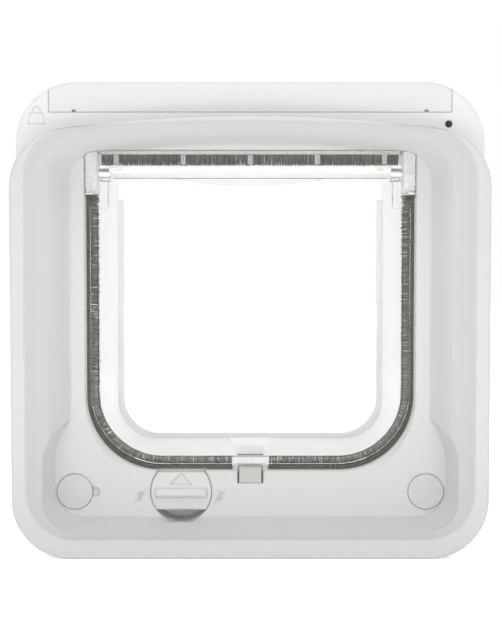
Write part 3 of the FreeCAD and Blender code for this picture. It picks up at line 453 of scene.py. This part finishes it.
flap_form = bmesh.new()
arm_end = pivot_height + arm_overrun
flap_corners = (
    (-flap_half, flap_bottom), (flap_half, flap_bottom),
    (flap_half, flap_shoulder), (arm_outside, flap_shoulder),
    (arm_outside, arm_end), (-arm_outside, arm_end),
    (-arm_outside, flap_shoulder), (-flap_half, flap_shoulder),
)
flap_face = flap_form.faces.new(
    [flap_form.verts.new((x, deep(flap_front - edge_proud), z)) for x, z in flap_corners]
)
thicken(flap_form, [flap_face], flap_thick + 2 * edge_proud)
bmesh.ops.recalc_face_normals(flap_form, faces=flap_form.faces)
low_corners = edges_where(
    flap_form, lambda edge: all(v.co.z < flap_bottom + near for v in edge.verts)
    and abs(edge.verts[0].co.y - edge.verts[1].co.y) > 1.0
)
round_over(flap_form, low_corners, flap_corner, 28)
for facing in (-1.0, 1.0):
    flap_form.normal_update()
    fields = [face for face in flap_form.faces if face.normal.y * facing > 0.9]
    field = max(fields, key=lambda face: face.calc_area())
    for width, rise in ((edge_width - edge_slope, 0.0), (edge_slope, -edge_proud)):
        bmesh.ops.inset_region(
            flap_form, faces=[field], thickness=width, depth=rise, use_even_offset=True
        )
bmesh.ops.bisect_plane(
    flap_form, geom=flap_form.verts[:] + flap_form.edges[:] + flap_form.faces[:],
    plane_co=(0.0, 0.0, pivot_height), plane_no=(0.0, 0.0, 1.0), clear_outer=True,
)
bmesh.ops.holes_fill(flap_form, edges=edges_where(flap_form, lambda edge: edge.is_boundary))
flap_form.normal_update()
outer = [
    edge for edge in crisp_edges(flap_form, 60)
    if max(v.co.z for v in edge.verts) < pivot_height - near
]
round_over(flap_form, outer, flap_edge_round, 3)
for reach_from, reach_to, radius in (
    (-arm_outside, arm_outside, rail_radius),
    (-arm_outside, arm_width - arm_outside, boss_radius),
    (arm_outside - arm_width, arm_outside, boss_radius),
):
    bar_form = bmesh.new()
    rod(bar_form, reach_from, reach_to, pivot_depth, pivot_height, radius)
    bar_form.normal_update()
    round_over(bar_form, crisp_edges(bar_form, 60), boss_edge_round, 3)
    flap_form = carve(flap_form, bar_form, "UNION")

holder_low = 40.4
holder_high = 48.0
holder_low_half = 6.4
holder_high_half = 9.5
holder_clearance = 0.12
hole_overrun = 3.0
holder_hole = bmesh.new()
hole_corners = block(
    holder_hole, -1.0, 1.0, flap_front - hole_overrun, flap_front + flap_thick + hole_overrun,
    holder_low - holder_clearance, holder_high + holder_clearance,
)
for corner in hole_corners:
    half = holder_high_half if corner.co.z > holder_low + 1.0 else holder_low_half
    corner.co.x *= half + holder_clearance
flap_form = carve(flap_form, holder_hole, "DIFFERENCE")
flap = settle("flap_panel", flap_form, "flap", clear_plastic, sharp=28.0)
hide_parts("flap")


# Hinge blocks.
# A clear moulding sits in each top corner of the opening and holds a pin of the flap. Its edges
# are well rounded, and five fine ribs run across its front.
hinge_clear = clear(
    "hinge_clear", shade(0.99, 0.995, 0.995), 0.05, scratch=0.06, haze=0.62, bend=1.12
)
block_inside = 70.95
block_outside = 76.75
block_front = 29.45
block_back = 45.35
block_low = 163.4
block_top = 182.6
block_low_corner = 5.0
block_edge_round = 0.7
throat_corner = 3.0
grip_inside = 73.3
grip_outside = 76.6
grip_half = 0.45
grip_pitch = 2.2
grip_drop = 1.2
grip_root = 1.0
grip_round = 0.3
pin_room_radius = 2.1
pin_wall = 0.3
pin_overrun = 1.0
for side, side_name in ((1.0, "right"), (-1.0, "left")):
    hinge_form = bmesh.new()
    block(hinge_form, block_inside, block_outside, block_front, block_back, block_low, block_top)
    corner_edge = edges_where(hinge_form, lambda edge: all(
        v.co.x > block_outside - near and v.co.z > block_top - near for v in edge.verts
    ))
    round_over(hinge_form, corner_edge, throat_corner, 8)
    low_edges = edges_where(
        hinge_form, lambda edge: all(v.co.z < block_low + near for v in edge.verts)
        and abs(edge.verts[0].co.x - edge.verts[1].co.x) > 1.0
    )
    round_over(hinge_form, low_edges, block_low_corner, 10)
    hinge_form.normal_update()
    round_over(hinge_form, crisp_edges(hinge_form, 40), block_edge_round, 4)
    for index in range(5):
        height = pivot_height - grip_drop - index * grip_pitch
        rib_form = bmesh.new()
        block(
            rib_form, grip_inside, grip_outside, block_front - grip_half,
            block_front + grip_root, height - grip_half, height + grip_half,
        )
        rib_form.normal_update()
        rib_front = edges_where(
            rib_form, lambda edge: all(v.co.y < deep(block_front) for v in edge.verts)
        )
        round_over(rib_form, rib_front, grip_round, 3)
        hinge_form = carve(hinge_form, rib_form, "UNION")
    pin_room = bmesh.new()
    rod(
        pin_room, block_inside - pin_overrun, block_outside - pin_wall, pivot_depth,
        pivot_height, pin_room_radius,
    )
    hinge_form = carve(hinge_form, pin_room, "DIFFERENCE")
    if side < 0:
        bmesh.ops.scale(hinge_form, vec=(-1.0, 1.0, 1.0), verts=hinge_form.verts)
        bmesh.ops.recalc_face_normals(hinge_form, faces=hinge_form.faces)
    hinge = settle(
        f"hinge_clear_{side_name}", hinge_form, "housing", hinge_clear
    )
    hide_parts(f"hinge_block_{side_name}")


# Throat web.
# The throat's lower corners are rounder than the tunnel's. A thin white web at the back of the
# housing closes the two crescents that are left between them.
web_front = 52.72
web_back = 52.98
corner_steps = 20


def rounded(half, low, high, low_corner, high_corner):
    """The points of a standing rectangle with rounded corners, anticlockwise from its right."""
    points = []
    for turn, (side_x, z, radius) in enumerate((
        (1.0, high - high_corner, high_corner), (-1.0, high - high_corner, high_corner),
        (-1.0, low + low_corner, low_corner), (1.0, low + low_corner, low_corner),
    )):
        for step in range(corner_steps + 1):
            angle = math.radians(90.0 * (turn + step / corner_steps))
            x = side_x * (half - radius) + radius * math.cos(angle)
            points.append((x, z + radius * math.sin(angle)))
    return points


throat_outline = rounded(half=77.6, low=32.9, high=183.8, low_corner=35.6, high_corner=3.8)
tunnel_outline = rounded(half=79.0, low=29.1, high=185.3, low_corner=24.0, high_corner=7.0)
web_form = bmesh.new()
web_inner, web_outer = (
    [web_form.verts.new((x, deep(web_front), z)) for x, z in outline]
    for outline in (throat_outline, tunnel_outline)
)
for index in range(len(web_inner)):
    after = (index + 1) % len(web_inner)
    web_form.faces.new((web_inner[index], web_outer[index], web_outer[after], web_inner[after]))
thicken(web_form, web_form.faces[:], web_back - web_front)
bmesh.ops.recalc_face_normals(web_form, faces=web_form.faces)
settle("throat_web", web_form, "housing", tunnel_painted_light)


# Pile seals.
# Dense brown bristle is woven into a dark strip and set in a groove round the sides and the
# floor of the opening. Its fibres reach past the flap's edge and brush against it.
def pile(name, light, dark):
    """Matt bristle that is mottled in clumps and from strand to strand."""
    finish = Finish(name)
    place = finish.node("ShaderNodeTexCoord", output=3)
    clump = finish.noise(place, 420.0, 2.0)
    strand = finish.noise(place, 2600.0, 1.0)
    shader = finish.node("ShaderNodeBsdfPrincipled", None, {
        "Base Color": finish.blended(clump * 0.5 + strand * 0.5, dark, light),
        "Roughness": 0.62 + 0.15 * strand,
        "Sheen Weight": 0.25,
        "Sheen Roughness": 0.4,
    })
    return finish.surface(shader)


brown_pile = pile("brown_pile", shade(0.35, 0.325, 0.285), shade(0.10, 0.088, 0.073))
wall_half = 76.8
wall_floor = 33.7
wall_corner = 34.8
seal_top = 162.9
seal_gap = 8.6
bristle_pitch = 0.36
bristle_lean = 0.12
bristle_tilt = 0.05
bristle_stray = 0.15
bristle_shift = 0.25
bristle_spread = 0.07
left_seed = 5.0


def wall_places():
    """Points down the right wall, round its corner and along the floor, each with a way in."""
    places = []
    height = seal_top
    while height > wall_floor + wall_corner:
        places.append((wall_half, height, -1.0, 0.0))
        height -= bristle_pitch
    steps = round(wall_corner * math.pi / 2 / bristle_pitch)
    centre_x = wall_half - wall_corner
    centre_z = wall_floor + wall_corner
    for step in range(steps):
        angle = -math.pi / 2 * step / steps
        out_x, out_z = math.cos(angle), math.sin(angle)
        x = centre_x + wall_corner * out_x
        places.append((x, centre_z + wall_corner * out_z, -out_x, -out_z))
    across = centre_x
    while across > seal_gap:
        places.append((across, wall_floor, 0.0, 1.0))
        across -= bristle_pitch
    return places


def jitter(seed):
    """A repeatable number from -1 to 1."""
    value = math.sin(seed * 12.9898) * 43758.5453
    return 2.0 * (value - math.floor(value)) - 1.0


fibre_root_radius = 0.24
fibre_tip_radius = 0.09
fibre_form = bmesh.new()
bmesh.ops.create_cone(
    fibre_form, cap_ends=False, segments=3, radius1=fibre_root_radius, radius2=fibre_tip_radius,
    depth=1.0, matrix=Matrix.Translation((0.0, 0.0, 0.5)),
)
fibre = bpy.data.meshes.new("fibre")
fibre_form.to_mesh(fibre)
fibre_form.free()


def plant(form, root, way, length, roll):
    """Adds one fibre from its root along its way."""
    turn = Vector(way).to_track_quat("Z", "Y").to_matrix().to_4x4()
    rolled = turn @ Matrix.Rotation(roll, 4, "Z")
    matrix = Matrix.Translation(root) @ rolled @ Matrix.Diagonal((1, 1, length, 1))
    fibre.transform(matrix)
    form.from_mesh(fibre)
    fibre.transform(matrix.inverted())


# Each row of bristle has its depth behind the rim and its reach from the wall.
bristle_rows = (
    (34.7, 1.9), (35.6, 1.2), (36.6, 1.1), (37.6, 1.2),
    (38.7, 4.4), (39.5, 4.9), (40.3, 5.2), (41.0, 4.8),
)
for side, side_name in ((1.0, "right"), (-1.0, "left")):
    seal_form = bmesh.new()
    for index, (x, z, in_x, in_z) in enumerate(wall_places()):
        for row, (row_depth, reach) in enumerate(bristle_rows):
            seed = index * 17.0 + row * 3.7 + (left_seed if side < 0 else 0.0)
            lean = bristle_lean * jitter(seed)
            length = reach * (1.0 + bristle_spread * jitter(seed + 1.3))
            tilt = bristle_tilt * jitter(seed + 2.1)
            stray = bristle_stray * jitter(seed + 3.3)
            depth = row_depth + bristle_shift * jitter(seed + 4.9)
            way = Vector((side * (in_x - lean * in_z), tilt, in_z + lean * in_x))
            root = Vector((side * (x + stray * abs(in_z)), deep(depth), z + stray * abs(in_x)))
            plant(seal_form, root, way, length, index * 0.7 + row)
    seal = settle(
        f"seal_bristle_{side_name}", seal_form, "housing", brown_pile
    )
    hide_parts(f"pile_seal_{side_name}")
backing_dark = pile("backing_dark", shade(0.11, 0.10, 0.09), shade(0.04, 0.035, 0.03))
coat("seal_backing_left", backing_dark)
coat("seal_backing_right", backing_dark)


# Top brush.
# A strip of the same bristle hangs from a clear carrier over the flap's rail, and five clear
# ribs hold it in place.
brush_half = 68.8
brush_top = 181.3
brush_low = 176.2
brush_front = 29.6
brush_pitch = 0.42
brush_rows = 6
brush_row_pitch = 0.52
brush_stray = 0.12
brush_lean = 0.05
brush_tilt = 0.04
brush_spread = 0.06
brush_form = bmesh.new()
across = -brush_half
count = 0
while across < brush_half:
    for row in range(brush_rows):
        seed = count * 5.1 + row * 2.3
        depth = brush_front + row * brush_row_pitch
        root = Vector((across + brush_stray * jitter(seed), deep(depth), brush_top))
        way = Vector((brush_lean * jitter(seed + 1.0), brush_tilt * jitter(seed + 2.0), -1.0))
        length = (brush_top - brush_low) * (1.0 + brush_spread * jitter(seed + 3.0))
        plant(brush_form, root, way, length, row + count * 0.9)
    across += brush_pitch
    count += 1
brush = settle("top_bristle", brush_form, "housing", brown_pile)
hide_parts("brush_strip")
carrier_clear = clear("carrier_clear", shade(0.97, 0.975, 0.97), 0.12, scratch=0.06, haze=0.25)
coat("brush_carrier", carrier_clear)


# Magnet, holder and catches.
# The flap's magnet sits in a frosted holder above its lower edge. A thin dark strip along the
# holder's foot is a painted shadow of the gap under it. Two cream catches rise out of a slot in
# the sill in front of and behind it.
frosted = clear("frosted", shade(0.985, 0.985, 0.98), 0.3, scratch=0.1, haze=0.75)
cream = moulded("cream", shade(0.61, 0.61, 0.57), shade(0.58, 0.58, 0.54), 0.45)
# Dark steel for the sill magnet, also used for the painted gap shadow under the holder.
dark_steel_and_shadow = moulded("magnet_plate_and_shadow", shade(0.30, 0.30, 0.31), shade(0.22, 0.22, 0.23), 0.4)
magnet_coat = moulded("magnet_coat", shade(0.72, 0.72, 0.71), shade(0.66, 0.66, 0.655), 0.35)
coat("magnet_holder", frosted)
coat("flap_magnet", magnet_coat)
# A thin dark strip under the holder: a painted shadow of the gap there, not a part.
gap_shadow_half = 6.2
gap_shadow_half_height = 0.4
gap_shadow_proud = 0.06
gap_shadow_round = 0.12
gap_shadow_front = flap_front - edge_proud - gap_shadow_proud
gap_shadow_back = flap_front + flap_thick + edge_proud + gap_shadow_proud
gap_shadow_form = bmesh.new()
block(
    gap_shadow_form, -gap_shadow_half, gap_shadow_half, gap_shadow_front, gap_shadow_back,
    holder_low - gap_shadow_half_height, holder_low + gap_shadow_half_height,
)
round_over(gap_shadow_form, gap_shadow_form.edges[:], gap_shadow_round, 2)
settle("painted_gap_shadow", gap_shadow_form, "flap", dark_steel_and_shadow)
coat("sill_magnet", dark_steel_and_shadow)
coat("inner_catch", cream)
coat("outer_catch", cream)
guide_grey = moulded("guide_grey", shade(0.5, 0.51, 0.52), shade(0.46, 0.47, 0.48), 0.5)
coat("catch_block", guide_grey)


# Dial and screw covers.
# The four-way lock dial turns in a round pocket of the sill panel, and a flush cap hides each
# of the two fixing screws. All are moulded in the housing's white, the caps a little greyer.
dial_white = moulded(
    "dial_white", shade(0.745, 0.755, 0.74), shade(0.725, 0.735, 0.722), 0.40, softness=0.0014
)
cap_white = moulded("cap_white", shade(0.70, 0.71, 0.69), shade(0.68, 0.69, 0.675), 0.42)
for name in ("lock_dial", "dial_cam"):
    coat(name, dial_white)
for name in ("screw_cover_left", "screw_cover_right"):
    coat(name, cap_white)


# Printed and raised marks.
# Each side of the dial has a small printed sign, an arrow with a stroke through it, and a raised
# outline of a padlock stands on the body's upper left corner.
mark_ink = moulded("mark_ink", shade(0.67, 0.67, 0.62), shade(0.63, 0.63, 0.58), 0.5)
panel_depth = 28.0
mark_sunk = 0.005


def printed(form, points, front, thickness):
    """Adds a thin flat shape from its corner points, raised from a plane at the front depth."""
    face = form.faces.new([form.verts.new((x, deep(front - thickness), z)) for x, z in points])
    thicken(form, [face], thickness - mark_sunk)


def bar_points(x_from, z_from, x_to, z_to, width):
    """The corners of a straight stroke between two points."""
    run = Vector((x_to - x_from, z_to - z_from)).normalized() * width / 2
    return ((x_from + run.y, z_from - run.x), (x_to + run.y, z_to - run.x),
            (x_to - run.y, z_to + run.x), (x_from - run.y, z_from + run.x))


arrow_half = 2.0
arrow_reach = 2.6
arrow_neck = 0.4
arrow_thickness = 0.05
tail_width = 1.1
tail_lap = 0.01
tail_thickness = 0.07
slash_half = 2.6
slash_rise = 2.9
slash_width = 0.5
slash_thickness = 0.10
for mark_name, middle_x, middle_z, points_to in (
    ("sign_out", -51.4, 22.2, 1.0), ("sign_in", -14.2, 21.9, -1.0)
):
    sign_form = bmesh.new()
    head = middle_z + arrow_reach * points_to
    foot = middle_z - arrow_reach * points_to
    neck = middle_z + arrow_neck * points_to
    arrow = ((middle_x - arrow_half, neck), (middle_x + arrow_half, neck), (middle_x, head))
    tail = bar_points(middle_x, neck - tail_lap * points_to, middle_x, foot, tail_width)
    slash = bar_points(
        middle_x - slash_half, middle_z - slash_rise, middle_x + slash_half,
        middle_z + slash_rise, slash_width,
    )
    printed(sign_form, arrow, panel_depth, arrow_thickness)
    printed(sign_form, tail, panel_depth, tail_thickness)
    printed(sign_form, slash, panel_depth, slash_thickness)
    bmesh.ops.recalc_face_normals(sign_form, faces=sign_form.faces)
    settle(mark_name, sign_form, "housing", mark_ink)

body_plane = 12.0
lock_x = -95.1
lock_stroke = 0.45
lock_relief = 0.05
lock_outline = ((-3.7, 192.3), (3.7, 192.3), (2.8, 197.0), (-2.8, 197.0))
shackle_half = 1.9
shackle_rise = 2.6
shackle_foot = 197.3
shackle_steps = 12
shackle = []
for step in range(shackle_steps + 1):
    angle = math.radians(step * 180 / shackle_steps)
    shackle.append((shackle_half * math.cos(angle), shackle_foot + shackle_rise * math.sin(angle)))
lock_form = bmesh.new()
for line in (lock_outline + lock_outline[:1], shackle):
    for start, end in zip(line, line[1:]):
        bar = bar_points(lock_x + start[0], start[1], lock_x + end[0], end[1], lock_stroke)
        printed(lock_form, bar, body_plane, lock_relief)
bmesh.ops.recalc_face_normals(lock_form, faces=lock_form.faces)
settle("lock_sign", lock_form, "housing", body_white)


# Metal, cells and electronics.
# The screws, motor, pins and contacts are plated or bright metal and the coil is copper wire.
# The green board, the sleeved cells and the learn button sit behind the battery cover.
def metal(name, colour, roughness):
    """Metal with a fine uneven grain."""
    finish = Finish(name)
    place = finish.node("ShaderNodeTexCoord", output=3)
    grain = finish.noise(place, 800.0, 3.0)
    dull = shade(*(part * 0.85 for part in colour[:3]))
    shader = finish.node("ShaderNodeBsdfPrincipled", None, {
        "Base Color": finish.blended(grain, dull, colour),
        "Roughness": roughness + 0.15 * grain,
        "Metallic": 1.0,
    })
    return finish.surface(shader)


zinc = metal("zinc", shade(0.72, 0.73, 0.74), 0.25)
bright_steel = metal("bright_steel", shade(0.95, 0.955, 0.955), 0.4)
nickel = metal("nickel", shade(0.78, 0.77, 0.72), 0.2)
copper = metal("copper", shade(0.75, 0.38, 0.2), 0.25)
board_green = moulded("board_green", shade(0.06, 0.26, 0.13), shade(0.04, 0.2, 0.1), 0.3)
chip_black = moulded("chip_black", shade(0.03, 0.03, 0.03), shade(0.02, 0.02, 0.02), 0.5)
button_grey = moulded("button_grey", shade(0.42, 0.43, 0.44), shade(0.38, 0.39, 0.4), 0.45)
lens_dark = moulded("lens_dark", shade(0.02, 0.02, 0.022), shade(0.012, 0.012, 0.014), 0.12)
cell_sleeve = moulded("cell_sleeve", shade(0.12, 0.14, 0.18), shade(0.08, 0.1, 0.13), 0.3)
for name, material in (
    ("rear_plate_screws", zinc), ("catch_motor", zinc),
    ("hinge_pin_left", bright_steel), ("hinge_pin_right", bright_steel),
    ("battery_contacts", nickel), ("learn_switch", nickel),
    ("antenna_coil", copper), ("circuit_board", board_green),
    ("board_components", chip_black), ("battery_tray", plate_white),
    ("learn_button", button_grey), ("indicator_light", lens_dark),
    ("battery_cell_1", cell_sleeve), ("battery_cell_2", cell_sleeve),
    ("battery_cell_3", cell_sleeve), ("battery_cell_4", cell_sleeve),
):
    coat(name, material)
